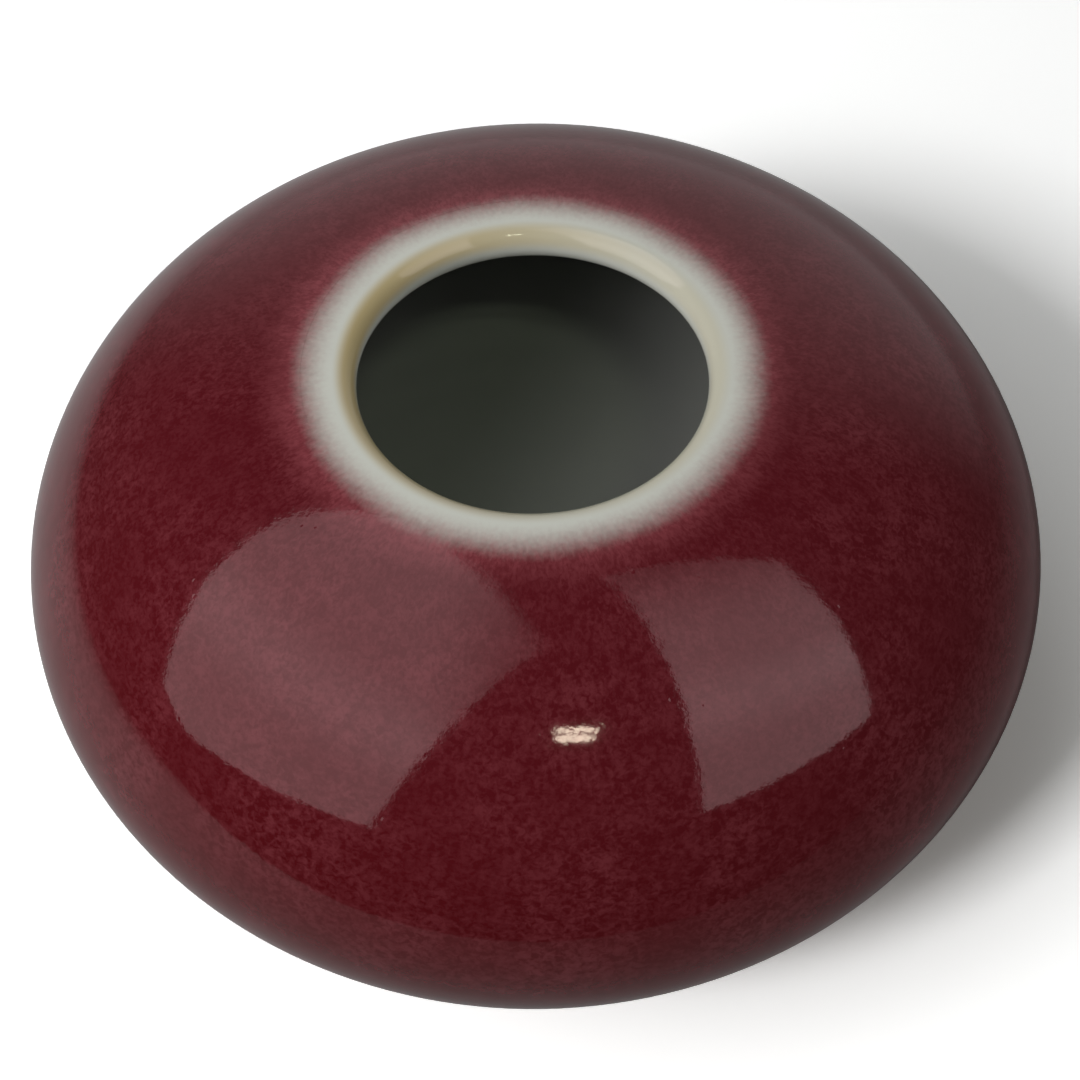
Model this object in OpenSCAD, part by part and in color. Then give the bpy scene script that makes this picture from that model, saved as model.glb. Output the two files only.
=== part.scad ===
// Compressed round porcelain water coupe with a copper-red glaze and a white lip.
// Two thrown sections are joined with slip at the widest point, then coated with glaze.
// Millimetres, +Z up. The origin is the middle of the plane that the foot ring stands on.

/* [Body] */
// Widest diameter, over the glaze
body_d = 100; // [80:1:130]
// Height from the foot to the top of the lip
total_h = 51; // [44:0.5:64]
// Height of the widest point
belly_z = 25.6; // [20:0.1:32]
// Fullness of the shoulder's curve (an ellipse has 0.707, and less is flatter)
shoulder_full = 0.6; // [0.5:0.01:0.9]
// Fullness of the curve under the belly
under_full = 0.8; // [0.5:0.01:0.95]
// Slope at which the underside reaches the foot ring, in degrees
under_slope = 12; // [4:1:25]

/* [Porcelain] */
// Thickness of the wall at the widest point
wall_t = 4; // [3:0.1:5]
// Thickness of the floor at its middle
floor_t = 3.6; // [3:0.1:6]
// Fullness of the floor's curve inside
floor_full = 0.9; // [0.7:0.01:1]

/* [Mouth] */
// Clear diameter of the mouth
mouth_d = 32.4; // [24:0.2:44]
// Thickness of the wall at the lip, which rounds it off
lip_t = 3.2; // [2.4:0.1:4.4]
// Width of the white band between the mouth and the red glaze
halo_w = 5; // [3.5:0.1:8]

/* [Foot] */
// Outer diameter of the foot ring
foot_d = 48; // [38:0.5:60]
// Height of the foot ring outside
foot_h = 2.4; // [1.8:0.1:4]
// Width of the foot ring
foot_w = 3.2; // [2.4:0.1:5]
// Rounding of the foot ring's two lower edges
foot_edge_r = 0.7; // [0.3:0.1:1]
// Depth of the base inside the foot ring
base_depth = 3.4; // [2.6:0.1:5]
// Rounding between the base and the foot ring
base_fillet_r = 1.2; // [0.6:0.1:2]

/* [Slip joint] */
// Thickness of the slip between the two thrown sections
slip_t = 0.6; // [0.3:0.1:1.2]
// Height of the slip bead left on the inside of the joint
bead_h = 2.8; // [1.6:0.1:5]
// How far the bead stands in from the wall
bead_t = 0.7; // [0.3:0.1:1.5]

/* [Glaze] */
// Thickness of the clear ground glaze outside
ground_t = 0.3; // [0.2:0.05:0.6]
// Thickness of the copper-red glaze over the ground glaze
red_t = 0.35; // [0.2:0.05:0.8]
// Thickness of the red glaze at its thin upper edge
red_edge_t = 0.06; // [0.04:0.01:0.15]
// Length over which the red glaze thins out towards the mouth
red_fade = 6; // [3:0.5:12]
// Thickness of the clear glaze inside
lining_t = 0.3; // [0.2:0.05:0.6]
// Thickness of the clear glaze on the base
base_glaze_t = 0.3; // [0.2:0.05:0.6]
// Bare margin between the outer glaze and the foot ring
foot_margin = 0.8; // [0.4:0.1:2]
// Bare height of the foot ring below the base glaze
base_margin = 1.2; // [1:0.1:1.8]
// Angle round the lip, from its top, where the outer and inner glazes meet
lip_join_a = 135; // [100:5:160]

/* [Hidden] */
$fn = 96;
// Steps along one whole body curve and along the bead, and degrees between the points of a small edge
curve_steps = 36;
bead_steps = 12;
edge_step = 12;
porcelain = [0.93, 0.92, 0.89];
bare_slip = [0.84, 0.83, 0.79];
clear_glaze = [0.90, 0.91, 0.88];
copper_red = [0.42, 0.05, 0.08];

// Outside and inside radius of the porcelain at the widest point, under the two outer glazes
coat_t = ground_t + red_t;
wide_r = body_d / 2 - coat_t;
inner_r = wide_r - wall_t;
top_z = total_h - ground_t;

// The lip is a half round on the wall's edge, and its top is the porcelain's highest circle
lip_r = lip_t / 2;
lip_c = [mouth_d / 2 + ground_t + lip_r, top_z - lip_r];

// The foot ring, the corner where the underside reaches it, and the base recessed inside it
foot_corner = [foot_d / 2, foot_h];
foot_in = foot_d / 2 - foot_w;
fillet_c = [foot_in - base_fillet_r, base_depth - base_fillet_r];
floor_z = base_depth + floor_t;
under_rise = (wide_r - foot_corner.x) * tan(under_slope);

// Control points of the four body curves, each lifted off the porcelain by t.
// A curve starts upright at the widest point and ends level, or on the underside's slope.
function shoulder(t) = [[wide_r + t, belly_z], [wide_r + t, top_z + t], [lip_c.x, top_z + t]];
function under(t) =
    [[wide_r + t, belly_z],
     [wide_r + t, foot_h + under_rise + t * (tan(under_slope) - 1 / cos(under_slope))],
     foot_corner + t * [sin(under_slope), -cos(under_slope)]];
function ceiling(t) =
    [[inner_r - t, belly_z], [inner_r - t, top_z - lip_t - t], [lip_c.x, top_z - lip_t - t]];
function dish(t) = [[inner_r - t, belly_z], [inner_r - t, floor_z + t], [0, floor_z + t]];

// A point at u on a curve, from 0 at the widest point to 1 at the far end, and a run of points
function at(p, full, u) =
    let (k = [pow(1 - u, 2), 2 * u * (1 - u) * full, pow(u, 2)])
    (k[0] * p[0] + k[1] * p[1] + k[2] * p[2]) / (k[0] + k[1] + k[2]);
function curve(p, full, u0, u1) =
    let (n = max(1, ceil(curve_steps * abs(u1 - u0))))
    [for (i = [0:n]) at(p, full, u0 + (u1 - u0) * i / n)];

// With a share of one way still to go, the share of the other way already gone
function gone(left, full) =
    left * (1 - 2 * pow(full, 2)) + 2 * full * sqrt(left * (1 - left * (1 - pow(full, 2))));
// Where on a curve it has risen or dropped by dz, and where it has come in to the radius r
function u_at_dz(p, full, dz) =
    let (left = 1 - dz / abs(p[1].y - p[0].y), s = sqrt((1 - gone(left, full)) / left)) s / (1 + s);
function u_at_r(p, full, r) =
    let (left = (r - p[2].x) / (p[1].x - p[2].x), s = sqrt((1 - left) / (1 - gone(1 - left, full))))
    s / (1 + s);

// Where the slip joint crosses the wall, and where the outer glazes start and stop
seam_up = u_at_dz(shoulder(0), shoulder_full, slip_t / 2);
seam_down = u_at_dz(under(0), under_full, slip_t / 2);
seam_in_up = u_at_dz(ceiling(0), shoulder_full, slip_t / 2);
seam_in_down = u_at_dz(dish(0), floor_full, slip_t / 2);
halo_r = mouth_d / 2 + halo_w;
halo_u = u_at_r(shoulder(ground_t), shoulder_full, halo_r);
stop_u = 1 - foot_margin / (2 * under_full * norm(under(0)[2] - under(0)[1]));

function backwards(points) = [for (i = [len(points) - 1:-1:0]) points[i]];
function arc(c, r, a0, a1) =
    let (n = ceil(abs(a1 - a0) / edge_step))
    [for (i = [0:n]) let (a = a0 + (a1 - a0) * i / n) c + r * [cos(a), sin(a)]];

// Stretches of the outside, from the foot upwards
function under_line(t) = curve(under(t), under_full, stop_u, seam_down);
function seam_line(t) = concat(curve(under(t), under_full, seam_down, 0),
                               curve(shoulder(t), shoulder_full, 0, seam_up));
function shoulder_line(t) = curve(shoulder(t), shoulder_full, seam_up, halo_u);
function halo_line(t) = curve(shoulder(t), shoulder_full, halo_u, 1);
function lip_line(t, from_a, to_a) = arc(lip_c, lip_r + t, 90 + from_a, 90 + to_a);
function body_line(t) = concat(under_line(t), seam_line(t), shoulder_line(t));

// Stretches of the inside, from the lip downwards. The bead swells in a smooth wave from the wall.
function bead_up(t) = u_at_dz(ceiling(t), shoulder_full, bead_h / 2);
function bead_down(t) = u_at_dz(dish(t), floor_full, bead_h / 2);
function ceiling_line(t) = curve(ceiling(t), shoulder_full, 1, bead_up(t));
function floor_line(t) = curve(dish(t), floor_full, bead_down(t), 1);
function bead_line(t) =
    [for (i = [1:bead_steps - 1])
        let (dz = bead_h * (0.5 - i / bead_steps), swell = bead_t * (1 + cos(360 * dz / bead_h)) / 2,
             wall = dz > 0 ? at(ceiling(t), shoulder_full, u_at_dz(ceiling(t), shoulder_full, dz))
                           : at(dish(t), floor_full, u_at_dz(dish(t), floor_full, -dz)))
        wall - [swell, 0]];

// Outside of the red glaze on the shoulder, which thins out towards the mouth
function red_at(r) = red_edge_t + (red_t - red_edge_t) * min(1, (r - halo_r) / red_fade);
function red_line() =
    let (n = ceil(curve_steps * (halo_u - seam_up)))
    [for (i = [0:n])
        let (u = seam_up + (halo_u - seam_up) * i / n, r = at(shoulder(ground_t), shoulder_full, u).x)
        at(shoulder(ground_t + red_at(r)), shoulder_full, u)];

module lathe(points) {
    rotate_extrude() polygon(points);
}

// Thrown and turned lower section, with its foot ring
module lower_bowl() {
    inside = concat(curve(dish(0), floor_full, seam_in_down, bead_down(0)), floor_line(0));
    base = concat([[0, base_depth]], arc(fillet_c, base_fillet_r, 90, 0));
    foot = concat(arc([foot_in + foot_edge_r, foot_edge_r], foot_edge_r, 180, 270),
                  arc([foot_d / 2 - foot_edge_r, foot_edge_r], foot_edge_r, -90, 0));
    outside = concat(curve(under(0), under_full, 1, stop_u), under_line(0));
    color(porcelain) lathe(concat(inside, base, foot, outside));
}

// Thrown upper section, closed in to the lip
module upper_shoulder() {
    outside = concat(shoulder_line(0), halo_line(0));
    lip = concat(lip_line(0, 0, lip_join_a), lip_line(0, lip_join_a, 180));
    inside = concat(ceiling_line(0), curve(ceiling(0), shoulder_full, bead_up(0), seam_in_up));
    color(porcelain) lathe(concat(outside, lip, inside));
}

// Slip that joins the two sections, squeezed into a bead inside
module luting_slip() {
    inside = concat(curve(ceiling(0), shoulder_full, seam_in_up, bead_up(0)), bead_line(0),
                    curve(dish(0), floor_full, bead_down(0), seam_in_down));
    color(bare_slip) lathe(concat(seam_line(0), inside));
}

// Clear glaze over the outside and the lip
module ground_glaze() {
    under_face = concat(body_line(0), halo_line(0), lip_line(0, 0, lip_join_a));
    face = concat(body_line(ground_t), halo_line(ground_t), lip_line(ground_t, 0, lip_join_a));
    color(clear_glaze) lathe(concat(under_face, backwards(face)));
}

// Copper-red glaze blown over the ground glaze, thinning out below the lip
module copper_red_glaze() {
    face = concat(under_line(coat_t), seam_line(coat_t), red_line());
    color(copper_red) lathe(concat(body_line(ground_t), backwards(face)));
}

// Clear glaze poured over the inside, up to the lip
module lining_glaze() {
    under_face = concat(lip_line(0, lip_join_a, 180), ceiling_line(0), bead_line(0), floor_line(0));
    face = concat(lip_line(lining_t, lip_join_a, 180), ceiling_line(lining_t), bead_line(lining_t),
                  floor_line(lining_t));
    color(clear_glaze) lathe(concat(under_face, backwards(face)));
}

// Clear glaze on the base, inside the foot ring
module base_glaze() {
    under_face = concat([[foot_in, base_margin]], arc(fillet_c, base_fillet_r, 0, 90), [[0, base_depth]]);
    face = concat([[foot_in - base_glaze_t, base_margin]],
                  arc(fillet_c, base_fillet_r - base_glaze_t, 0, 90), [[0, base_depth - base_glaze_t]]);
    color(clear_glaze) lathe(concat(under_face, backwards(face)));
}

lower_bowl();
upper_shoulder();
luting_slip();
ground_glaze();
copper_red_glaze();
lining_glaze();
base_glaze();
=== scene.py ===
import math
import bmesh
import bpy
from mathutils import Matrix, Vector


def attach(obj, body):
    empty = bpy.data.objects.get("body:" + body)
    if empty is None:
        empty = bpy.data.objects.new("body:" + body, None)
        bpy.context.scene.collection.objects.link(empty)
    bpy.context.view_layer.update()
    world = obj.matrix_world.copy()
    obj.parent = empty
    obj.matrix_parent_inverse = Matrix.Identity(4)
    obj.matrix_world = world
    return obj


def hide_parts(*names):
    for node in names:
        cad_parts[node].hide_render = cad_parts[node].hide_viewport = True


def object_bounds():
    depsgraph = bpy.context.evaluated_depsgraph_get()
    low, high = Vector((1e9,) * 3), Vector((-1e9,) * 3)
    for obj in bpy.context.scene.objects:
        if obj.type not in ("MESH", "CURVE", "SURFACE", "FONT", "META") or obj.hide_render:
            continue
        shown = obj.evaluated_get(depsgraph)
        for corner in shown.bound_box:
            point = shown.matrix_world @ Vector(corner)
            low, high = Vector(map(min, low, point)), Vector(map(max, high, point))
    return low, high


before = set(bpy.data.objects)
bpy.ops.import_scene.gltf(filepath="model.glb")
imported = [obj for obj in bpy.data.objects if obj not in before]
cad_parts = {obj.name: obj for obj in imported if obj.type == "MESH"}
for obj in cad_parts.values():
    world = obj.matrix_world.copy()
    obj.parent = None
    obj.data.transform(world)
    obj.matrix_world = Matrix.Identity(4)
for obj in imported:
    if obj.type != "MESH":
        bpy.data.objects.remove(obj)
cadLow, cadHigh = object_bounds()
print("frame loaded, CAD box in mm:", [round(1000 * v, 2) for v in (*cadLow, *cadHigh)])

mm = 0.001  # lengths are in metres, and the small ones are written as so many mm


# sRGB hex, as a colour picker shows it, to linear
def hexColour(text):
    parts = [int(text[i:i + 2], 16) / 255 for i in (0, 2, 4)]
    return [c / 12.92 if c <= 0.04045 else ((c + 0.055) / 1.055) ** 2.4 for c in parts] + [1.0]


# One node, its settings, and its inputs as values or as sockets to link from
def addNode(tree, kind, inputs=None, **settings):
    node = tree.nodes.new(kind)
    for key, value in settings.items():
        setattr(node, key, value)
    for key, value in (inputs or {}).items():
        if isinstance(value, bpy.types.NodeSocket):
            tree.links.new(value, node.inputs[key])
        else:
            node.inputs[key].default_value = value
    return node


# The pot's sizes, as its solids have them
pot = {
    "bodyD": 2 * cadHigh.x,
    "totalH": cadHigh.z - cadLow.z,
    "bellyZ": 25.6 * mm,
    "shoulderFull": 0.6,
    "underFull": 0.8,
    "underSlope": math.radians(12),
    "wallT": 4 * mm,
    "floorT": 3.6 * mm,
    "floorFull": 0.9,
    "mouthD": 32.4 * mm,
    "lipT": 3.2 * mm,
    "haloW": 5 * mm,
    "footD": 48 * mm,
    "footH": 2.4 * mm,
    "footW": 3.2 * mm,
    "footEdgeR": 0.7 * mm,
    "baseDepth": 3.4 * mm,
    "baseFilletR": 1.2 * mm,
    "slipT": 0.6 * mm,
    "beadH": 2.8 * mm,
    "beadT": 0.7 * mm,
    "groundT": 0.3 * mm,
    "redT": 0.35 * mm,
    # the solid's red edge is 0.06 mm thick, and here the coat fades out further and slower
    "redEdgeT": 0.02 * mm,
    "redFade": 26 * mm,
    "liningT": 0.3 * mm,
    "baseGlazeT": 0.3 * mm,
    "footMargin": 0.8 * mm,
    "baseMargin": 1.2 * mm,
    "lipJoin": math.radians(135),
}

coatT = pot["groundT"] + pot["redT"]
wideR = pot["bodyD"] / 2 - coatT
innerR = wideR - pot["wallT"]
topZ = pot["totalH"] - pot["groundT"]
lipR = pot["lipT"] / 2
lipCentre = Vector((pot["mouthD"] / 2 + pot["groundT"] + lipR, topZ - lipR))
footR = pot["footD"] / 2
footIn = footR - pot["footW"]
filletCentre = Vector((footIn - pot["baseFilletR"], pot["baseDepth"] - pot["baseFilletR"]))
floorZ = pot["baseDepth"] + pot["floorT"]
haloR = pot["mouthD"] / 2 + pot["haloW"]
curveSteps = 72
beadSteps = 24
arcStep = math.radians(5)


# Control points of the four body curves, each lifted off the clay by t
def shoulder(t):
    return [Vector(p) for p in ((wideR + t, pot["bellyZ"]), (wideR + t, topZ + t), (lipCentre.x, topZ + t))]


def under(t):
    tan, sin, cos = (f(pot["underSlope"]) for f in (math.tan, math.sin, math.cos))
    bendZ = pot["footH"] + (wideR - footR) * tan + t * (tan - 1 / cos)
    return [Vector((wideR + t, pot["bellyZ"])), Vector((wideR + t, bendZ)),
            Vector((footR + t * sin, pot["footH"] - t * cos))]


def ceiling(t):
    z = topZ - pot["lipT"] - t
    return [Vector(p) for p in ((innerR - t, pot["bellyZ"]), (innerR - t, z), (lipCentre.x, z))]


def dish(t):
    z = floorZ + t
    return [Vector(p) for p in ((innerR - t, pot["bellyZ"]), (innerR - t, z), (0, z))]


# A point at u on a curve, from 0 at the widest point to 1 at the far end, and a run of points
def onCurve(points, full, u):
    k = ((1 - u) ** 2, 2 * u * (1 - u) * full, u ** 2)
    return (k[0] * points[0] + k[1] * points[1] + k[2] * points[2]) / sum(k)


def run(points, full, u0, u1):
    n = max(1, math.ceil(curveSteps * abs(u1 - u0)))
    return [onCurve(points, full, u0 + (u1 - u0) * i / n) for i in range(n + 1)]


# With a share of one way still to go, the share of the other way already gone
def gone(left, full):
    return left * (1 - 2 * full ** 2) + 2 * full * math.sqrt(left * (1 - left * (1 - full ** 2)))


# Where on a curve it has risen or dropped by dz, and where it has come in to the radius r
def uAtRise(points, full, dz):
    left = 1 - dz / abs(points[1].y - points[0].y)
    s = math.sqrt((1 - gone(left, full)) / left)
    return s / (1 + s)


def uAtRadius(points, full, r):
    left = (r - points[2].x) / (points[1].x - points[2].x)
    s = math.sqrt((1 - left) / (1 - gone(1 - left, full)))
    return s / (1 + s)


def arc(centre, r, a0, a1):
    n = math.ceil(abs(a1 - a0) / arcStep)
    angles = [a0 + (a1 - a0) * i / n for i in range(n + 1)]
    return [centre + r * Vector((math.cos(a), math.sin(a))) for a in angles]


full, lowFull, flatFull = pot["shoulderFull"], pot["underFull"], pot["floorFull"]
halfSlip, halfBead = pot["slipT"] / 2, pot["beadH"] / 2
seamUp, seamDown = uAtRise(shoulder(0), full, halfSlip), uAtRise(under(0), lowFull, halfSlip)
seamInUp, seamInDown = uAtRise(ceiling(0), full, halfSlip), uAtRise(dish(0), flatFull, halfSlip)
haloU = uAtRadius(shoulder(pot["groundT"]), full, haloR)
stopU = 1 - pot["footMargin"] / (2 * lowFull * (under(0)[2] - under(0)[1]).length)


# Stretches of the outside, from the foot upwards, and of the inside, from the lip downwards
def underLine(t):
    return run(under(t), lowFull, stopU, seamDown) + run(under(t), lowFull, seamDown, 0)


def bodyLine(t):
    return underLine(t) + run(shoulder(t), full, 0, seamUp) + run(shoulder(t), full, seamUp, haloU)


def haloLine(t):
    return run(shoulder(t), full, haloU, 1)


def lipLine(t, a0, a1):
    return arc(lipCentre, lipR + t, math.pi / 2 + a0, math.pi / 2 + a1)


# The bead of slip inside, between two of its steps
def beadLine(t, first, last):
    line = []
    for i in range(first, last + 1):
        dz = pot["beadH"] * (0.5 - i / beadSteps)
        swell = pot["beadT"] * (1 + math.cos(2 * math.pi * dz / pot["beadH"])) / 2
        wall, wallFull = (ceiling(t), full) if dz > 0 else (dish(t), flatFull)
        line.append(onCurve(wall, wallFull, uAtRise(wall, wallFull, abs(dz))) - Vector((swell, 0)))
    return line


# The glaze inside lies in faint rings, left by the fingers on the clay
throwing = {"pitch": 3.4 * mm, "depth": 0.05 * mm}


def insideLine(t, ringed):
    beadUp, beadDown = uAtRise(ceiling(t), full, halfBead), uAtRise(dish(t), flatFull, halfBead)
    floor = run(dish(t), flatFull, beadDown, 1)
    if ringed:
        for p in floor[1:]:
            p.y += throwing["depth"] * (1 + math.cos(2 * math.pi * p.x / throwing["pitch"])) / 2
    return run(ceiling(t), full, 1, beadUp) + beadLine(t, 1, beadSteps - 1) + floor


# Geometry Nodes lathe: turns a profile round the pot's axis, then lets it sag out of true as a fired pot does
lathe = {"segments": 192, "hub": 10 * mm, "outOfRound": 0.003, "lipSway": 0.002, "lobe": 60 * mm, "seed": 7.0,
         "swaySeed": 5.0, "weld": 0.001 * mm, "nearest": 0.0005 * mm, "sharp": math.radians(40)}


def makeLatheTree():
    tree = bpy.data.node_groups.new("potterLathe", "GeometryNodeTree")
    face = tree.interface
    face.new_socket("Geometry", in_out="INPUT", socket_type="NodeSocketGeometry")
    for name, kind in (("Segments", "Int"), ("Hub Radius", "Float"), ("Out of Round", "Float"),
                       ("Lip Sway", "Float"), ("Lobe", "Float"), ("Seed", "Float"), ("Finish", "Material")):
        face.new_socket(name, in_out="INPUT", socket_type="NodeSocket" + kind)
    face.new_socket("Geometry", in_out="OUTPUT", socket_type="NodeSocketGeometry")
    given = addNode(tree, "NodeGroupInput").outputs

    # the profile stands in the XZ plane, and the sweep wants it flat, measured from the hub
    line = addNode(tree, "GeometryNodeMeshToCurve", {"Mesh": given["Geometry"]})
    inward = addNode(tree, "ShaderNodeMath", {0: given["Hub Radius"], 1: -1.0}, operation="MULTIPLY")
    shift = addNode(tree, "ShaderNodeCombineXYZ", {"X": inward.outputs[0]})
    flat = addNode(tree, "GeometryNodeTransform", {"Geometry": line.outputs[0],
                                                   "Translation": shift.outputs[0],
                                                   "Rotation": (math.pi / 2, 0, 0)})
    hub = addNode(tree, "GeometryNodeCurvePrimitiveCircle", {"Resolution": given["Segments"],
                                                             "Radius": given["Hub Radius"]})
    swept = addNode(tree, "GeometryNodeCurveToMesh", {"Curve": hub.outputs[0],
                                                      "Profile Curve": flat.outputs[0]})
    closed = addNode(tree, "GeometryNodeMergeByDistance", {"Geometry": swept.outputs[0],
                                                           "Distance": lathe["weld"]})

    # both noises only pull inwards, so the pot keeps inside its own box
    place = addNode(tree, "GeometryNodeInputPosition")
    size = addNode(tree, "ShaderNodeMath", {0: 1.0, 1: given["Lobe"]}, operation="DIVIDE")
    level = addNode(tree, "ShaderNodeVectorMath", {0: place.outputs[0], 1: (1, 1, 0)}, operation="MULTIPLY")
    lobes = addNode(tree, "ShaderNodeTexNoise", {"Vector": level.outputs[0], "W": given["Seed"],
                                                 "Scale": size.outputs[0], "Detail": 0.0},
                    noise_dimensions="4D")
    pull = addNode(tree, "ShaderNodeMath", {0: lobes.outputs[0], 1: given["Out of Round"]},
                   operation="MULTIPLY")
    later = addNode(tree, "ShaderNodeMath", {0: given["Seed"], 1: lathe["swaySeed"]}, operation="ADD")
    waves = addNode(tree, "ShaderNodeTexNoise", {"Vector": level.outputs[0], "W": later.outputs[0],
                                                 "Scale": size.outputs[0], "Detail": 0.0},
                    noise_dimensions="4D")
    sink = addNode(tree, "ShaderNodeMath", {0: waves.outputs[0], 1: given["Lip Sway"]}, operation="MULTIPLY")
    share = addNode(tree, "ShaderNodeCombineXYZ", {"X": pull.outputs[0], "Y": pull.outputs[0],
                                                   "Z": sink.outputs[0]})
    drawn = addNode(tree, "ShaderNodeVectorMath", {0: place.outputs[0], 1: share.outputs[0]},
                    operation="MULTIPLY")
    back = addNode(tree, "ShaderNodeVectorMath", {0: drawn.outputs[0], "Scale": -1.0}, operation="SCALE")
    sagged = addNode(tree, "GeometryNodeSetPosition", {"Geometry": closed.outputs[0],
                                                       "Offset": back.outputs[0]})

    smooth = addNode(tree, "GeometryNodeSetShadeSmooth", {"Geometry": sagged.outputs[0]})
    real = addNode(tree, "GeometryNodeRealizeInstances", {"Geometry": smooth.outputs[0]})
    painted = addNode(tree, "GeometryNodeSetMaterial", {"Geometry": real.outputs[0],
                                                        "Material": given["Finish"]})
    addNode(tree, "NodeGroupOutput", {"Geometry": painted.outputs[0]})
    return tree


latheTree = makeLatheTree()


# One piece of the pot from its profile. A closed profile makes a ring, an open one ends on the axis
def turn(node, profile, ring, finish):
    line = [profile[0]]
    for p in profile[1:]:
        if (p - line[-1]).length > lathe["nearest"]:
            line.append(p)
    if ring and (line[0] - line[-1]).length < lathe["nearest"]:
        line.pop()
    edges = [(i, i + 1) for i in range(len(line) - 1)]
    if ring:
        edges.append((len(line) - 1, 0))
    mesh = bpy.data.meshes.new(node + ".profile")
    mesh.from_pydata([(p.x, 0, p.y) for p in line], edges, [])
    work = bpy.data.objects.new(node + ".profile", mesh)
    bpy.context.collection.objects.link(work)
    modifier = work.modifiers.new("lathe", "NODES")
    modifier.node_group = latheTree
    values = {"Segments": lathe["segments"], "Hub Radius": lathe["hub"], "Out of Round": lathe["outOfRound"],
              "Lip Sway": lathe["lipSway"], "Lobe": lathe["lobe"], "Seed": lathe["seed"], "Finish": finish}
    for item in latheTree.interface.items_tree:
        if item.in_out == "INPUT" and item.name in values:
            modifier[item.identifier] = values[item.name]
    graph = bpy.context.evaluated_depsgraph_get()
    turned = bpy.data.meshes.new_from_object(work.evaluated_get(graph))
    bpy.data.objects.remove(work)
    bpy.data.meshes.remove(mesh)

    form = bmesh.new()
    form.from_mesh(turned)
    bmesh.ops.recalc_face_normals(form, faces=form.faces)
    form.to_mesh(turned)
    form.free()
    turned.set_sharp_from_angle(angle=lathe["sharp"])
    turned.name = node + ".turned"
    piece = bpy.data.objects.new(node + ".turned", turned)
    bpy.context.collection.objects.link(piece)
    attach(piece, "root")
    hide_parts(node)
    print(node, "turned:", len(turned.polygons), "faces")


# An empty material, its tree, and the place on the piece in the piece's own coordinates
def newMaterial(name):
    material = bpy.data.materials.new(name)
    material.use_nodes = True
    tree = material.node_tree
    tree.nodes.clear()
    return material, tree, addNode(tree, "ShaderNodeTexCoord").outputs["Object"]


# Distance from the pot's axis, and the direction round it
def roundAxis(tree, place):
    level = addNode(tree, "ShaderNodeVectorMath", {0: place, 1: (1, 1, 0)}, operation="MULTIPLY")
    radius = addNode(tree, "ShaderNodeVectorMath", {0: level.outputs[0]}, operation="LENGTH")
    heading = addNode(tree, "ShaderNodeVectorMath", {0: level.outputs[0]}, operation="NORMALIZE")
    return radius.outputs["Value"], heading.outputs[0]


# The blown edge of the red glaze: 0 on the white lip, 1 on the red, with fine streaks running outwards
feather = {"middle": 20.2 * mm, "width": 4.2 * mm, "ragged": 0.45 * mm, "streakW": 0.4 * mm,
           "streakL": 0.9 * mm, "patch": 8 * mm, "patchReach": 0.8 * mm, "grain": 0.5 * mm,
           "grainReach": 0.6 * mm, "lean": 0.15 * mm}


def redShare(tree, place, radius, heading):
    around = addNode(tree, "ShaderNodeVectorMath", {0: heading, "Scale": haloR / feather["streakW"]},
                     operation="SCALE")
    outward = addNode(tree, "ShaderNodeMath", {0: radius, 1: 1 / feather["streakL"]}, operation="MULTIPLY")
    lift = addNode(tree, "ShaderNodeCombineXYZ", {"Z": outward.outputs[0]})
    streakAt = addNode(tree, "ShaderNodeVectorMath", {0: around.outputs[0], 1: lift.outputs[0]},
                       operation="ADD")
    streaks = addNode(tree, "ShaderNodeTexNoise", {"Vector": streakAt.outputs[0], "Scale": 1.0,
                                                   "Detail": 1.5})
    patches = addNode(tree, "ShaderNodeTexNoise", {"Vector": place, "Scale": 1 / feather["patch"],
                                                   "Detail": 1.0})
    grains = addNode(tree, "ShaderNodeTexNoise", {"Vector": place, "Scale": 1 / feather["grain"],
                                                  "Detail": 1.0})
    side = addNode(tree, "ShaderNodeSeparateXYZ", {0: heading})
    reach = addNode(tree, "ShaderNodeMath", {0: side.outputs["X"], 1: feather["lean"], 2: radius},
                    operation="MULTIPLY_ADD").outputs[0]
    spread = feather["middle"] - feather["width"] / 2
    for noise, depth in ((streaks, "ragged"), (patches, "patchReach"), (grains, "grainReach")):
        reach = addNode(tree, "ShaderNodeMath", {0: noise.outputs[0], 1: feather[depth], 2: reach},
                        operation="MULTIPLY_ADD").outputs[0]
        spread += feather[depth] / 2
    share = addNode(tree, "ShaderNodeMapRange", {"Value": reach, "From Min": spread,
                                                 "From Max": spread + feather["width"]},
                    interpolation_type="SMOOTHSTEP")
    return share.outputs[0]


# Copper red on porcelain, fired glossy: deep red in the thick of it, hazed by mauve flecks and by fibres that
# ran down the slope, and paler in a ring of uneven width where it thins out. The real grain is finer than the
# picture can show, so the flecks and fibres are drawn coarser.
redLook = {"deep": "5B070F", "deepUpTo": 28 * mm, "body": "62121C", "bodyFrom": 50 * mm, "rough": 0.06,
           "fleck": 1.7 * mm, "fleckFrom": 0.84, "fleckTo": 1.22,
           "fibreW": 0.45 * mm, "fibreL": 0.65 * mm, "fibreR": 35 * mm,
           "haze": "9A4851", "cloud": 9 * mm, "cloudFrom": 0.35, "cloudTo": 0.65, "hazeLeast": 0.15,
           "hazeMost": 0.36,
           "thin": "A8545C", "thinShare": 0.75, "thinUpTo": 25.5 * mm, "thinPatch": 6 * mm,
           "thinReach": 1.5 * mm, "thinLean": 0.7 * mm, "thinFlecks": 0.5, "thinLeast": 0.6}


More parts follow.
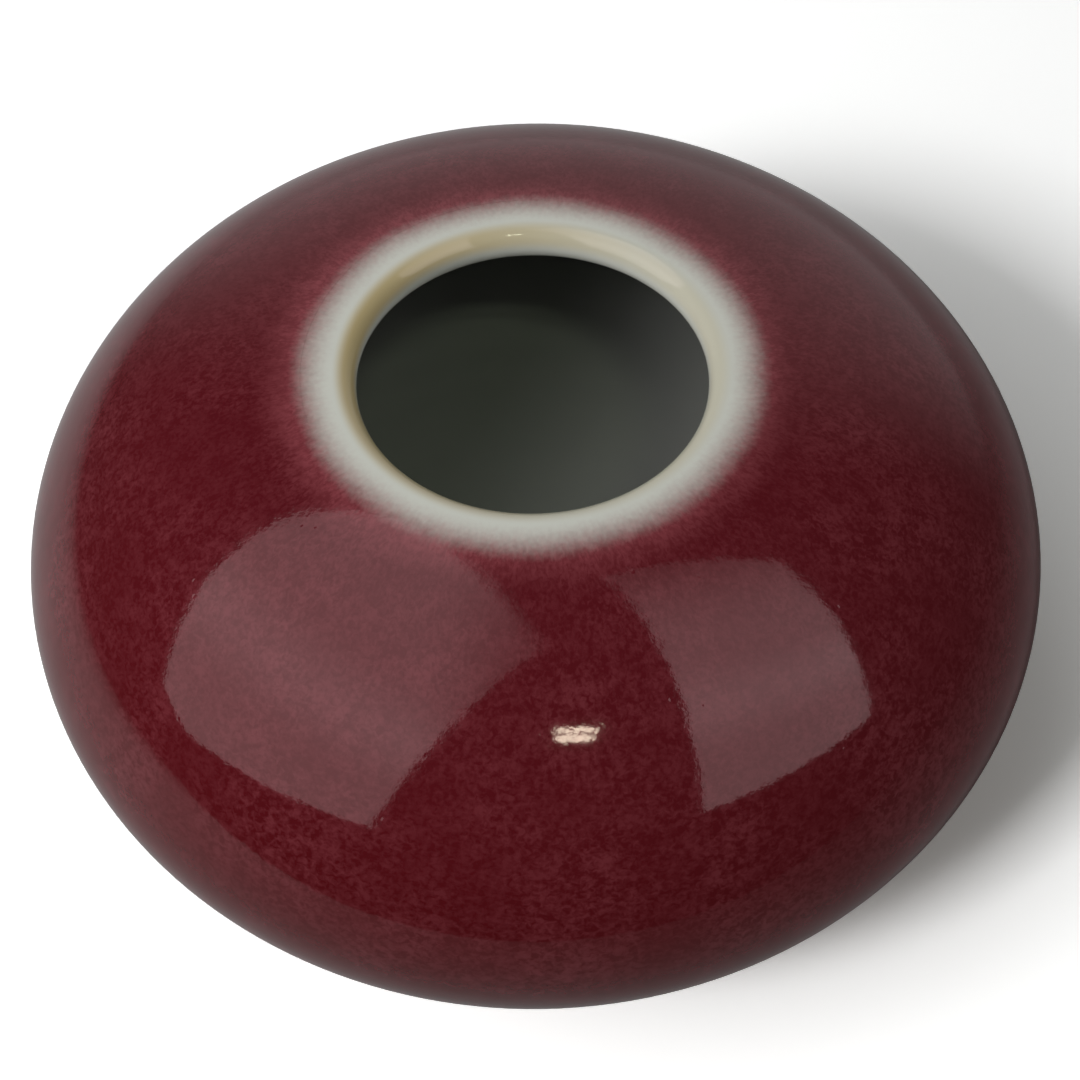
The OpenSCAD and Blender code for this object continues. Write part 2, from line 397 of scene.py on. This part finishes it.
def redColour(tree, place, radius, heading):
    parts = addNode(tree, "ShaderNodeSeparateXYZ", {0: place})
    fibres = redLook["fibreR"] / redLook["fibreW"]
    around = addNode(tree, "ShaderNodeVectorMath", {0: heading, "Scale": fibres}, operation="SCALE")
    inward = addNode(tree, "ShaderNodeMath", {0: pot["bodyD"] / 2, 1: radius}, operation="SUBTRACT")
    upperHalf = addNode(tree, "ShaderNodeMath", {0: parts.outputs["Z"], 1: pot["bellyZ"]},
                        operation="GREATER_THAN")
    turned = addNode(tree, "ShaderNodeMath", {0: upperHalf.outputs[0], 1: 2.0, 2: -1.0},
                     operation="MULTIPLY_ADD")
    uphill = addNode(tree, "ShaderNodeMath", {0: inward.outputs[0], 1: turned.outputs[0],
                                              2: parts.outputs["Z"]}, operation="MULTIPLY_ADD")
    along = addNode(tree, "ShaderNodeMath", {0: uphill.outputs[0], 1: 1 / redLook["fibreL"]},
                    operation="MULTIPLY")
    lift = addNode(tree, "ShaderNodeCombineXYZ", {"Z": along.outputs[0]})
    fibreAt = addNode(tree, "ShaderNodeVectorMath", {0: around.outputs[0], 1: lift.outputs[0]},
                      operation="ADD")
    fibre = addNode(tree, "ShaderNodeTexNoise", {"Vector": fibreAt.outputs[0], "Scale": 1.0, "Detail": 2.0,
                                                 "Distortion": 0.6})
    fleck = addNode(tree, "ShaderNodeTexNoise", {"Vector": place, "Scale": 1 / redLook["fleck"],
                                                 "Detail": 4.5, "Roughness": 0.7, "Distortion": 0.3})
    both = addNode(tree, "ShaderNodeMath", {0: fleck.outputs[0], 1: fibre.outputs[0]}, operation="ADD")
    flecked = addNode(tree, "ShaderNodeMapRange", {"Value": both.outputs[0], "From Min": redLook["fleckFrom"],
                                                   "From Max": redLook["fleckTo"]})
    cloud = addNode(tree, "ShaderNodeTexNoise", {"Vector": place, "Scale": 1 / redLook["cloud"],
                                                 "Detail": 2.0})
    clouded = addNode(tree, "ShaderNodeMapRange", {"Value": cloud.outputs[0],
                                                   "From Min": redLook["cloudFrom"],
                                                   "From Max": redLook["cloudTo"],
                                                   "To Min": redLook["hazeLeast"],
                                                   "To Max": redLook["hazeMost"]})
    haze = addNode(tree, "ShaderNodeMath", {0: flecked.outputs[0], 1: clouded.outputs[0]},
                   operation="MULTIPLY")
    upper = addNode(tree, "ShaderNodeMapRange", {"Value": parts.outputs["Z"], "From Min": redLook["deepUpTo"],
                                                 "From Max": redLook["bodyFrom"]})
    depth = addNode(tree, "ShaderNodeMix", {0: upper.outputs[0], 6: hexColour(redLook["deep"]),
                                            7: hexColour(redLook["body"])}, data_type="RGBA")
    hazed = addNode(tree, "ShaderNodeMix", {0: haze.outputs[0], 6: depth.outputs[2],
                                            7: hexColour(redLook["haze"])}, data_type="RGBA")
    patch = addNode(tree, "ShaderNodeTexNoise", {"Vector": place, "Scale": 1 / redLook["thinPatch"],
                                                 "Detail": 2.0})
    side = addNode(tree, "ShaderNodeSeparateXYZ", {0: heading})
    leaning = addNode(tree, "ShaderNodeMath", {0: side.outputs["X"], 1: redLook["thinLean"], 2: radius},
                      operation="MULTIPLY_ADD")
    uneven = addNode(tree, "ShaderNodeMath", {0: patch.outputs[0], 1: redLook["thinReach"],
                                              2: leaning.outputs[0]}, operation="MULTIPLY_ADD")
    half = redLook["thinReach"] / 2
    near = addNode(tree, "ShaderNodeMapRange", {"Value": uneven.outputs[0],
                                                "From Min": feather["middle"] + half,
                                                "From Max": redLook["thinUpTo"] + half,
                                                "To Min": redLook["thinShare"], "To Max": 0.0},
                   interpolation_type="SMOOTHSTEP")
    patchy = addNode(tree, "ShaderNodeMath", {0: flecked.outputs[0], 1: redLook["thinFlecks"],
                                              2: redLook["thinLeast"]}, operation="MULTIPLY_ADD")
    thin = addNode(tree, "ShaderNodeMath", {0: near.outputs[0], 1: patchy.outputs[0]}, operation="MULTIPLY")
    return addNode(tree, "ShaderNodeMix", {0: thin.outputs[0], 6: hazed.outputs[2],
                                           7: hexColour(redLook["thin"])}, data_type="RGBA").outputs[2]


# Melted glaze lies in a shallow orange peel with a few burst bubbles, which break the edges of reflections
glazeSkin = {"peel": 1.3 * mm, "peelDepth": 0.01 * mm, "hole": 1.37 * mm, "holeR": 0.18,
             "holeDepth": 0.007 * mm, "holeShare": 0.2}


def glazeNormal(tree, place):
    peel = addNode(tree, "ShaderNodeTexNoise", {"Vector": place, "Scale": 1 / glazeSkin["peel"],
                                                "Detail": 3.0, "Roughness": 0.6})
    swell = addNode(tree, "ShaderNodeBump", {"Strength": 1.0, "Distance": glazeSkin["peelDepth"],
                                             "Height": peel.outputs[0]})
    cells = addNode(tree, "ShaderNodeTexVoronoi", {"Vector": place, "Scale": 1 / glazeSkin["hole"]})
    dent = addNode(tree, "ShaderNodeMapRange", {"Value": cells.outputs["Distance"],
                                                "From Max": glazeSkin["holeR"]},
                   interpolation_type="SMOOTHSTEP")
    pick = addNode(tree, "ShaderNodeSeparateColor", {0: cells.outputs["Color"]})
    some = addNode(tree, "ShaderNodeMath", {0: pick.outputs[0], 1: glazeSkin["holeShare"]},
                   operation="GREATER_THAN")
    level = addNode(tree, "ShaderNodeMath", {0: dent.outputs[0], 1: some.outputs[0]}, operation="MAXIMUM")
    pinholes = addNode(tree, "ShaderNodeBump", {"Strength": 1.0, "Distance": glazeSkin["holeDepth"],
                                                "Height": level.outputs[0], "Normal": swell.outputs[0]})
    return pinholes.outputs[0]


# The copper tints the gleams of the red, and slightly those of the lip, whose glaze took up a trace of it
copperGleam = {"ior": 1.6, "tint": "FFDEE0"}
lipGleam = {"ior": 1.6, "tint": "FFF2F0"}
plainGleam = {"ior": 1.5, "tint": "FFFFFF"}


def shadeSurface(tree, colour, normal, rough, gleam):
    shader = addNode(tree, "ShaderNodeBsdfPrincipled", {"Base Color": colour, "Roughness": rough,
                                                        "IOR": gleam["ior"], "Normal": normal,
                                                        "Specular Tint": hexColour(gleam["tint"])})
    addNode(tree, "ShaderNodeOutputMaterial", {"Surface": shader.outputs[0]})


# Clear glaze on white porcelain: cool white on the rim, cream where it pooled inside the lip, turning tan
# towards the left side
lipLook = {"white": "F0F1E7", "cream": "DFDBC7", "creamFrom": 18.4 * mm, "creamAt": 17.1 * mm,
           "fadeFrom": 48.9 * mm, "fadeAt": 50.1 * mm, "tan": "DCC794", "tanSide": (-0.95, 0.25, 0),
           "tanFrom": -0.35, "tanAt": 1.0, "rough": 0.05}


def clearLipGlaze():
    material, tree, place = newMaterial("clear glaze on white porcelain")
    radius, heading = roundAxis(tree, place)
    inside = addNode(tree, "ShaderNodeMapRange", {"Value": radius, "From Min": lipLook["creamFrom"],
                                                  "From Max": lipLook["creamAt"]},
                     interpolation_type="SMOOTHSTEP")
    height = addNode(tree, "ShaderNodeSeparateXYZ", {0: place})
    above = addNode(tree, "ShaderNodeMapRange", {"Value": height.outputs["Z"],
                                                 "From Min": lipLook["fadeFrom"],
                                                 "From Max": lipLook["fadeAt"]},
                    interpolation_type="SMOOTHSTEP")
    pooled = addNode(tree, "ShaderNodeMath", {0: inside.outputs[0], 1: above.outputs[0]},
                     operation="MULTIPLY")
    # tan towards the left side of the mouth, set by the direction round the axis
    side = addNode(tree, "ShaderNodeVectorMath", {0: heading, 1: lipLook["tanSide"]}, operation="DOT_PRODUCT")
    towardsLeft = addNode(tree, "ShaderNodeMapRange", {"Value": side.outputs["Value"],
                                                 "From Min": lipLook["tanFrom"],
                                                 "From Max": lipLook["tanAt"]})
    warm = addNode(tree, "ShaderNodeMix", {0: towardsLeft.outputs[0], 6: hexColour(lipLook["cream"]),
                                           7: hexColour(lipLook["tan"])}, data_type="RGBA")
    lip = addNode(tree, "ShaderNodeMix", {0: pooled.outputs[0], 6: hexColour(lipLook["white"]),
                                          7: warm.outputs[2]}, data_type="RGBA")
    share = redShare(tree, place, radius, heading)
    red = redColour(tree, place, radius, heading)
    colour = addNode(tree, "ShaderNodeMix", {0: share, 6: lip.outputs[2], 7: red}, data_type="RGBA")
    shadeSurface(tree, colour.outputs[2], glazeNormal(tree, place), lipLook["rough"], lipGleam)
    return material


def copperRedGlaze():
    material, tree, place = newMaterial("copper red glaze, fired glossy")
    radius, heading = roundAxis(tree, place)
    share = redShare(tree, place, radius, heading)
    red = redColour(tree, place, radius, heading)
    colour = addNode(tree, "ShaderNodeMix", {0: share, 6: hexColour(lipLook["white"]), 7: red},
                     data_type="RGBA")
    shadeSurface(tree, colour.outputs[2], glazeNormal(tree, place), redLook["rough"], copperGleam)
    return material


# Clear glaze poured inside: pale on the floor, with grey clouds, and darkened by painted shade up under the
# shoulder
liningLook = {"pale": "E8E8E0", "grey": "D8DAD4", "under": "7C7E78", "cloud": 16 * mm, "underFrom": 9 * mm,
              "paintedShadeAt": 22 * mm, "rough": 0.45}


def clearLiningGlaze():
    material, tree, place = newMaterial("clear lining glaze, poured")
    cloud = addNode(tree, "ShaderNodeTexNoise", {"Vector": place, "Scale": 1 / liningLook["cloud"],
                                                 "Detail": 3.0})
    colour = addNode(tree, "ShaderNodeMix", {0: cloud.outputs[0], 6: hexColour(liningLook["pale"]),
                                             7: hexColour(liningLook["grey"])}, data_type="RGBA")
    # painted shade: from 9 mm up to 22 mm the lining turns to the dark grey 'under' colour, where the
    # shoulder shades the inside
    height = addNode(tree, "ShaderNodeSeparateXYZ", {0: place})
    above = addNode(tree, "ShaderNodeMapRange", {"Value": height.outputs["Z"],
                                                 "From Min": liningLook["underFrom"],
                                                 "From Max": liningLook["paintedShadeAt"]})
    shaded = addNode(tree, "ShaderNodeMix", {0: above.outputs[0], 6: colour.outputs[2],
                                             7: hexColour(liningLook["under"])}, data_type="RGBA")
    shadeSurface(tree, shaded.outputs[2], glazeNormal(tree, place), liningLook["rough"], plainGleam)
    return material


# Clear glaze on the base: blue-white, with dark pinpricks of iron
baseLook = {"white": "DDE2DD", "speck": "6B5A48", "specks": 2.6 * mm, "speckR": 0.06, "speckShare": 0.7,
            "rough": 0.1}


def clearBaseGlaze():
    material, tree, place = newMaterial("clear base glaze")
    cells = addNode(tree, "ShaderNodeTexVoronoi", {"Vector": place, "Scale": 1 / baseLook["specks"]})
    speck = addNode(tree, "ShaderNodeMapRange", {"Value": cells.outputs["Distance"],
                                                 "From Min": baseLook["speckR"], "From Max": 0.0,
                                                 "To Max": baseLook["speckShare"]})
    colour = addNode(tree, "ShaderNodeMix", {0: speck.outputs[0], 6: hexColour(baseLook["white"]),
                                             7: hexColour(baseLook["speck"])}, data_type="RGBA")
    shadeSurface(tree, colour.outputs[2], glazeNormal(tree, place), baseLook["rough"], plainGleam)
    return material


# Unglazed porcelain: matt and close-grained, flushed orange where it meets the glaze
biscuitLook = {"clay": "E3DCCB", "flush": "C08A5C", "flushFrom": 1.3 * mm, "flushAt": 2.6 * mm,
               "flushShare": 0.8, "grit": "8A7A66", "gritSize": 1.5 * mm, "gritFrom": 0.6, "gritAt": 0.75,
               "gritShare": 0.4, "grain": 0.4 * mm, "grainDepth": 0.02 * mm, "rough": 0.75}


def biscuitPorcelain():
    material, tree, place = newMaterial("biscuit porcelain, turned")
    height = addNode(tree, "ShaderNodeSeparateXYZ", {0: place})
    edge = addNode(tree, "ShaderNodeMapRange", {"Value": height.outputs["Z"],
                                                "From Min": biscuitLook["flushFrom"],
                                                "From Max": biscuitLook["flushAt"],
                                                "To Max": biscuitLook["flushShare"]})
    flushed = addNode(tree, "ShaderNodeMix", {0: edge.outputs[0], 6: hexColour(biscuitLook["clay"]),
                                              7: hexColour(biscuitLook["flush"])}, data_type="RGBA")
    grit = addNode(tree, "ShaderNodeTexNoise", {"Vector": place, "Scale": 1 / biscuitLook["gritSize"],
                                                "Detail": 4.0})
    dirty = addNode(tree, "ShaderNodeMapRange", {"Value": grit.outputs[0],
                                                 "From Min": biscuitLook["gritFrom"],
                                                 "From Max": biscuitLook["gritAt"],
                                                 "To Max": biscuitLook["gritShare"]})
    colour = addNode(tree, "ShaderNodeMix", {0: dirty.outputs[0], 6: flushed.outputs[2],
                                             7: hexColour(biscuitLook["grit"])}, data_type="RGBA")
    grain = addNode(tree, "ShaderNodeTexNoise", {"Vector": place, "Scale": 1 / biscuitLook["grain"],
                                                 "Detail": 2.0})
    grainy = addNode(tree, "ShaderNodeBump", {"Strength": 1.0, "Distance": biscuitLook["grainDepth"],
                                              "Height": grain.outputs[0]})
    shadeSurface(tree, colour.outputs[2], grainy.outputs[0], biscuitLook["rough"], plainGleam)
    return material


# Fired slip: greyer and grainier than the thrown clay it joins
slipLook = {"light": "CFC9BA", "dark": "B5AE9D", "grain": 0.6 * mm, "grainDepth": 0.03 * mm, "rough": 0.85}


def firedSlip():
    material, tree, place = newMaterial("fired joining slip")
    grain = addNode(tree, "ShaderNodeTexNoise", {"Vector": place, "Scale": 1 / slipLook["grain"],
                                                 "Detail": 3.0})
    colour = addNode(tree, "ShaderNodeMix", {0: grain.outputs[0], 6: hexColour(slipLook["light"]),
                                             7: hexColour(slipLook["dark"])}, data_type="RGBA")
    grainy = addNode(tree, "ShaderNodeBump", {"Strength": 1.0, "Distance": slipLook["grainDepth"],
                                              "Height": grain.outputs[0]})
    shadeSurface(tree, colour.outputs[2], grainy.outputs[0], slipLook["rough"], plainGleam)
    return material


biscuit = biscuitPorcelain()
slip = firedSlip()
clearLip = clearLipGlaze()
clearLining = clearLiningGlaze()
clearBase = clearBaseGlaze()
copperRed = copperRedGlaze()
print("materials made:", len(bpy.data.materials))


def turnLowerBowl():
    edgeR = pot["footEdgeR"]
    base = [Vector((0, pot["baseDepth"]))] + arc(filletCentre, pot["baseFilletR"], math.pi / 2, 0)
    foot = (arc(Vector((footIn + edgeR, edgeR)), edgeR, math.pi, 1.5 * math.pi)
            + arc(Vector((footR - edgeR, edgeR)), edgeR, -math.pi / 2, 0))
    outside = run(under(0), lowFull, 1, stopU) + run(under(0), lowFull, stopU, seamDown)
    inside = run(dish(0), flatFull, seamInDown, 1)
    turn("lower_bowl", base + foot + outside + inside, False, biscuit)


def turnUpperShoulder():
    outside = run(shoulder(0), full, seamUp, haloU) + haloLine(0)
    lip = lipLine(0, 0, math.pi)
    inside = run(ceiling(0), full, 1, seamInUp)
    turn("upper_shoulder", outside + lip + inside, True, biscuit)


def layLutingSlip():
    outside = run(under(0), lowFull, seamDown, 0) + run(shoulder(0), full, 0, seamUp)
    upper = run(ceiling(0), full, seamInUp, uAtRise(ceiling(0), full, halfBead))
    lower = run(dish(0), flatFull, uAtRise(dish(0), flatFull, halfBead), seamInDown)
    turn("luting_slip", outside + upper + beadLine(0, 0, beadSteps) + lower, True, slip)


def dipGroundGlaze():
    clayFace = bodyLine(0) + haloLine(0) + lipLine(0, 0, pot["lipJoin"])
    t = pot["groundT"]
    face = bodyLine(t) + haloLine(t) + lipLine(t, 0, pot["lipJoin"])
    turn("ground_glaze", face + clayFace[::-1], True, clearLip)


# The red coat swells smoothly from its feathered edge to its full thickness
def blowRedGlaze():
    ground = bodyLine(pot["groundT"])
    upper = []
    n = math.ceil(curveSteps * haloU)
    for i in range(n + 1):
        u = haloU * i / n
        r = onCurve(shoulder(pot["groundT"]), full, u).x
        part = min(1, (r - haloR) / pot["redFade"])
        swell = part * part * (3 - 2 * part)
        t = pot["groundT"] + pot["redEdgeT"] + (pot["redT"] - pot["redEdgeT"]) * swell
        upper.append(onCurve(shoulder(t), full, u))
    turn("copper_red_glaze", underLine(coatT) + upper + ground[::-1], True, copperRed)


def pourLiningGlaze():
    t = pot["liningT"]
    clayFace = lipLine(0, pot["lipJoin"], math.pi) + insideLine(0, False)
    face = lipLine(t, pot["lipJoin"], math.pi) + insideLine(t, True)
    turn("lining_glaze", clayFace[::-1] + face, False, clearLining)


# The face of the base, from the foot ring in to the axis, lifted off the clay by t
def baseLine(t):
    start, end = Vector((footIn - t, pot["baseMargin"])), Vector((0, pot["baseDepth"] - t))
    return [start] + arc(filletCentre, pot["baseFilletR"] - t, 0, math.pi / 2) + [end]


def brushBaseGlaze():
    turn("base_glaze", baseLine(pot["baseGlazeT"])[::-1] + baseLine(0), False, clearBase)


turnLowerBowl()
turnUpperShoulder()
layLutingSlip()
dipGroundGlaze()
blowRedGlaze()
pourLiningGlaze()
brushBaseGlaze()


# Pale tabletop that melts into the white room, seen brighter by the camera than by the glaze, and
# see-through from below. In the glaze it shows painted light, pale behind and on the left, and painted
# shadow, darker in front and on the right. Light from below reaches the base through it, under the pot.
table = {"left": -1.5, "right": 1.5, "front": -0.14, "back": 1.5, "pale": 0.49, "dark": 0.154, "lit": 1.48,
         "paintedLightSide": (-0.8, 0.6, 0), "reach": 0.15, "meltFrom": 0.12, "meltTo": 0.45, "openR": 0.038,
         "openFadeR": 0.028}


def layTable():
    mesh = bpy.data.meshes.new("tabletop")
    corners = [(table["left"], table["front"], 0), (table["right"], table["front"], 0),
               (table["right"], table["back"], 0), (table["left"], table["back"], 0)]
    mesh.from_pydata(corners, [], [(0, 1, 2, 3)])
    material, tree, place = newMaterial("pale tabletop")
    ray = addNode(tree, "ShaderNodeLightPath").outputs["Is Camera Ray"]
    # painted light and shadow, for all rays but the camera's: pale towards the left and back, dark towards
    # the right and front
    side = addNode(tree, "ShaderNodeVectorMath", {0: place, 1: table["paintedLightSide"]}, operation="DOT_PRODUCT")
    pale = addNode(tree, "ShaderNodeMapRange", {"Value": side.outputs["Value"], "From Min": -table["reach"],
                                                "From Max": table["reach"], "To Min": table["dark"],
                                                "To Max": table["pale"]}, interpolation_type="SMOOTHSTEP")
    lit = [table["lit"]] * 3 + [1]
    tone = addNode(tree, "ShaderNodeMix", {0: ray, 6: pale.outputs[0], 7: lit}, data_type="RGBA")
    paint = addNode(tree, "ShaderNodeBsdfDiffuse", {"Color": tone.outputs[2]})
    clear = addNode(tree, "ShaderNodeBsdfTransparent")
    away = addNode(tree, "ShaderNodeVectorMath", {0: place}, operation="LENGTH")
    melt = addNode(tree, "ShaderNodeMapRange", {"Value": away.outputs["Value"], "From Min": table["meltFrom"],
                                                "From Max": table["meltTo"]}, interpolation_type="SMOOTHSTEP")
    hole = addNode(tree, "ShaderNodeMapRange", {"Value": away.outputs["Value"], "From Min": table["openR"],
                                                "From Max": table["openFadeR"]},
                   interpolation_type="SMOOTHSTEP")
    below = addNode(tree, "ShaderNodeNewGeometry").outputs["Backfacing"]
    opening = addNode(tree, "ShaderNodeMath", {0: hole.outputs[0], 1: ray}, operation="SUBTRACT",
                      use_clamp=True)
    either = addNode(tree, "ShaderNodeMath", {0: melt.outputs[0], 1: opening.outputs[0]}, operation="MAXIMUM")
    unseen = addNode(tree, "ShaderNodeMath", {0: either.outputs[0], 1: below}, operation="MAXIMUM")
    sheet = addNode(tree, "ShaderNodeMixShader", {0: unseen.outputs[0], 1: paint.outputs[0],
                                                  2: clear.outputs[0]})
    addNode(tree, "ShaderNodeOutputMaterial", {"Surface": sheet.outputs[0]})
    mesh.materials.append(material)
    floor = bpy.data.objects.new("tabletop", mesh)
    bpy.context.collection.objects.link(floor)
    return floor


# A dim room with a paler wall behind and a pale floor far below, and a white background
room = {"dim": 0.06, "wall": 0.42, "facing": (0.17, 0.98, 0.1), "wallFrom": 0.55, "wallTo": 0.95,
        "under": 0.4, "underFrom": -0.5, "underTo": -0.8, "background": 1.0}


def makeRoom():
    world = bpy.data.worlds.new("studio")
    world.use_nodes = True
    tree = world.node_tree
    tree.nodes.clear()
    looking = addNode(tree, "ShaderNodeTexCoord").outputs["Generated"]
    toWall = addNode(tree, "ShaderNodeVectorMath", {0: looking, 1: room["facing"]}, operation="DOT_PRODUCT")
    wall = addNode(tree, "ShaderNodeMapRange", {"Value": toWall.outputs["Value"],
                                                "From Min": room["wallFrom"], "From Max": room["wallTo"],
                                                "To Min": room["dim"], "To Max": room["wall"]},
                   interpolation_type="SMOOTHSTEP")
    height = addNode(tree, "ShaderNodeSeparateXYZ", {0: looking})
    farBelow = addNode(tree, "ShaderNodeMapRange", {"Value": height.outputs["Z"],
                                                    "From Min": room["underFrom"],
                                                    "From Max": room["underTo"], "To Max": room["under"]})
    around = addNode(tree, "ShaderNodeMath", {0: wall.outputs[0], 1: farBelow.outputs[0]}, operation="ADD")
    ray = addNode(tree, "ShaderNodeLightPath").outputs["Is Camera Ray"]
    white = [room["background"]] * 3 + [1]
    seen = addNode(tree, "ShaderNodeMix", {0: ray, 6: around.outputs[0], 7: white}, data_type="RGBA")
    light = addNode(tree, "ShaderNodeBackground", {"Color": seen.outputs[2], "Strength": 1.0})
    addNode(tree, "ShaderNodeOutputWorld", {"Surface": light.outputs[0]})
    bpy.context.scene.world = world


# Two large softboxes, left and right of the camera, each with its middle, its two directions and its size.
# A fade has its lean to one side, its start and end, and its depth, and a short one cuts off a corner.
# Two lamps that the glaze doesn't show light the pot from the sides, one lights the floor alone, for the
# shadow on it, and two short tubes make the twin highlight on the front.
lamps = {
    "leftSoftbox": {"middle": (-0.195, -0.05, 0.488), "across": (0.491, -0.816, 0.304),
                    "along": (0.438, 0.533, 0.724), "size": (0.418, 0.896), "glow": 1.28, "gleams": True,
                    "lights": True, "fades": [(0.855, 0.1, 0.7, 0.72), (0.215, 0.32, 0.4, 1.0),
                                              (0.5, -0.675, -0.69, 1.0)]},
    "rightSoftbox": {"middle": (0.325, -0.052, 0.416), "across": (0.983, 0.164, 0.085),
                     "along": (-0.176, 0.683, 0.709), "size": (0.41, 0.619), "glow": 1.25, "gleams": True,
                     "lights": False, "fades": [(0.0, -0.05, 0.5, 0.7), (1.795, 0.42, 0.5, 1.0),
                                                (0.48, 0.3, 0.36, 1.0)]},
    "leftLamp": {"middle": (-0.674, -0.421, 0.56), "across": (0.53, -0.848, 0.0),
                 "along": (0.474, 0.296, 0.83), "size": (0.5, 0.5), "glow": 3.2, "gleams": False,
                 "lights": True},
    "rightLamp": {"middle": (0.84, -0.31, 0.15), "across": (0.35, 0.94, 0.0), "along": (-0.15, 0.06, 0.99),
                  "size": (0.4, 0.4), "glow": 3.0, "gleams": False, "lights": True},
    "floorLamp": {"middle": (-0.517, -0.517, 0.682), "across": (0.707, -0.707, 0.0),
                  "along": (0.482, 0.482, 0.731), "size": (0.22, 0.22), "glow": 28.5, "gleams": False,
                  "lights": True, "floorOnly": True},
    "upperTube": {"middle": (0.068, -0.33, 0.567), "across": (0.994, 0.059, -0.092),
                  "along": (0.0, 0.84, 0.542), "size": (0.072, 0.012), "glow": 20.0, "gleams": True,
                  "lights": True, "tint": "F0FFE2"},
    "lowerTube": {"middle": (0.064, -0.351, 0.553), "across": (0.994, 0.059, -0.092),
                  "along": (0.0, 0.84, 0.542), "size": (0.066, 0.0195), "glow": 17.0, "gleams": True,
                  "lights": True, "tint": "F0FFE2"},
}

# A softbox is brightest in a band across it, at this share of its length from the middle
band = {"at": -0.2, "reach": 0.16, "most": 1.14, "least": 0.86}


# Brighter band and fading sides of a softbox, by the place on it
def fadeSoftbox(light, fades):
    light.use_nodes = True
    tree = light.node_tree
    tree.nodes.clear()
    at = addNode(tree, "ShaderNodeNewGeometry").outputs["Parametric"]
    centred = addNode(tree, "ShaderNodeVectorMath", {0: at, 1: (0.5, 0.5, 0)}, operation="SUBTRACT")
    parts = addNode(tree, "ShaderNodeSeparateXYZ", {0: centred.outputs[0]})
    off = addNode(tree, "ShaderNodeMath", {0: parts.outputs["Y"], 1: -band["at"]}, operation="ADD")
    away = addNode(tree, "ShaderNodeMath", {0: off.outputs[0]}, operation="ABSOLUTE")
    power = addNode(tree, "ShaderNodeMapRange", {"Value": away.outputs[0], "From Min": 0.0,
                                                 "From Max": band["reach"], "To Min": band["most"],
                                                 "To Max": band["least"]}, interpolation_type="SMOOTHSTEP")
    for lean, start, end, depth in fades:
        side = addNode(tree, "ShaderNodeMath", {0: parts.outputs["X"], 1: lean, 2: parts.outputs["Y"]},
                       operation="MULTIPLY_ADD")
        fade = addNode(tree, "ShaderNodeMapRange", {"Value": side.outputs[0], "From Min": start,
                                                    "From Max": end, "To Min": 1.0, "To Max": 1.0 - depth},
                       interpolation_type="SMOOTHSTEP")
        power = addNode(tree, "ShaderNodeMath", {0: power.outputs[0], 1: fade.outputs[0]},
                        operation="MULTIPLY")
    glow = addNode(tree, "ShaderNodeEmission", {"Strength": power.outputs[0]})
    addNode(tree, "ShaderNodeOutputLight", {"Surface": glow.outputs[0]})


def hangLamps(floor):
    floorAlone = bpy.data.collections.new("floor under the lamp")
    floorAlone.objects.link(floor)
    for name, box in lamps.items():
        light = bpy.data.lights.new(name, "AREA")
        light.shape = "RECTANGLE"
        light.size, light.size_y = box["size"]
        light.energy = math.pi * box["glow"] * light.size * light.size_y
        if "fades" in box:
            fadeSoftbox(light, box["fades"])
        if "tint" in box:
            light.color = hexColour(box["tint"])[:3]
        across = Vector(box["across"]).normalized()
        facing = across.cross(Vector(box["along"])).normalized()
        turned = Matrix((across, facing.cross(across), facing)).transposed().to_4x4()
        lamp = bpy.data.objects.new(name, light)
        lamp.matrix_world = Matrix.Translation(box["middle"]) @ turned
        lamp.visible_glossy = box["gleams"]
        lamp.visible_diffuse = box["lights"]
        if "floorOnly" in box:
            lamp.light_linking.receiver_collection = floorAlone
        bpy.context.collection.objects.link(lamp)


# The camera stands where the photograph was taken from, fitted to the outline and the mouth
view = {"elevation": math.radians(53.09), "distance": 225 * mm, "aim": (0.445 * mm, 0, 24.07 * mm),
        "roll": math.radians(-0.89), "lens": 74.83, "sensor": 36, "clipFrom": 0.01, "clipTo": 10}


def setCamera():
    camera = bpy.data.cameras.new("camera")
    camera.lens = view["lens"]
    camera.sensor_width = view["sensor"]
    camera.clip_start = view["clipFrom"]
    camera.clip_end = view["clipTo"]
    stand = Vector((0, -view["distance"] * math.cos(view["elevation"]),
                    pot["bellyZ"] + view["distance"] * math.sin(view["elevation"])))
    forward = (Vector(view["aim"]) - stand).normalized()
    right = forward.cross(Vector((0, 0, 1))).normalized()
    up = right.cross(forward)
    c, s = math.cos(view["roll"]), math.sin(view["roll"])
    turned = Matrix((c * right + s * up, c * up - s * right, -forward)).transposed().to_4x4()
    eye = bpy.data.objects.new("camera", camera)
    eye.matrix_world = Matrix.Translation(stand) @ turned
    bpy.context.collection.objects.link(eye)
    bpy.context.scene.camera = eye


floor = layTable()
makeRoom()
hangLamps(floor)
setCamera()
bpy.context.scene.view_settings.view_transform = "Standard"
print("stage set")
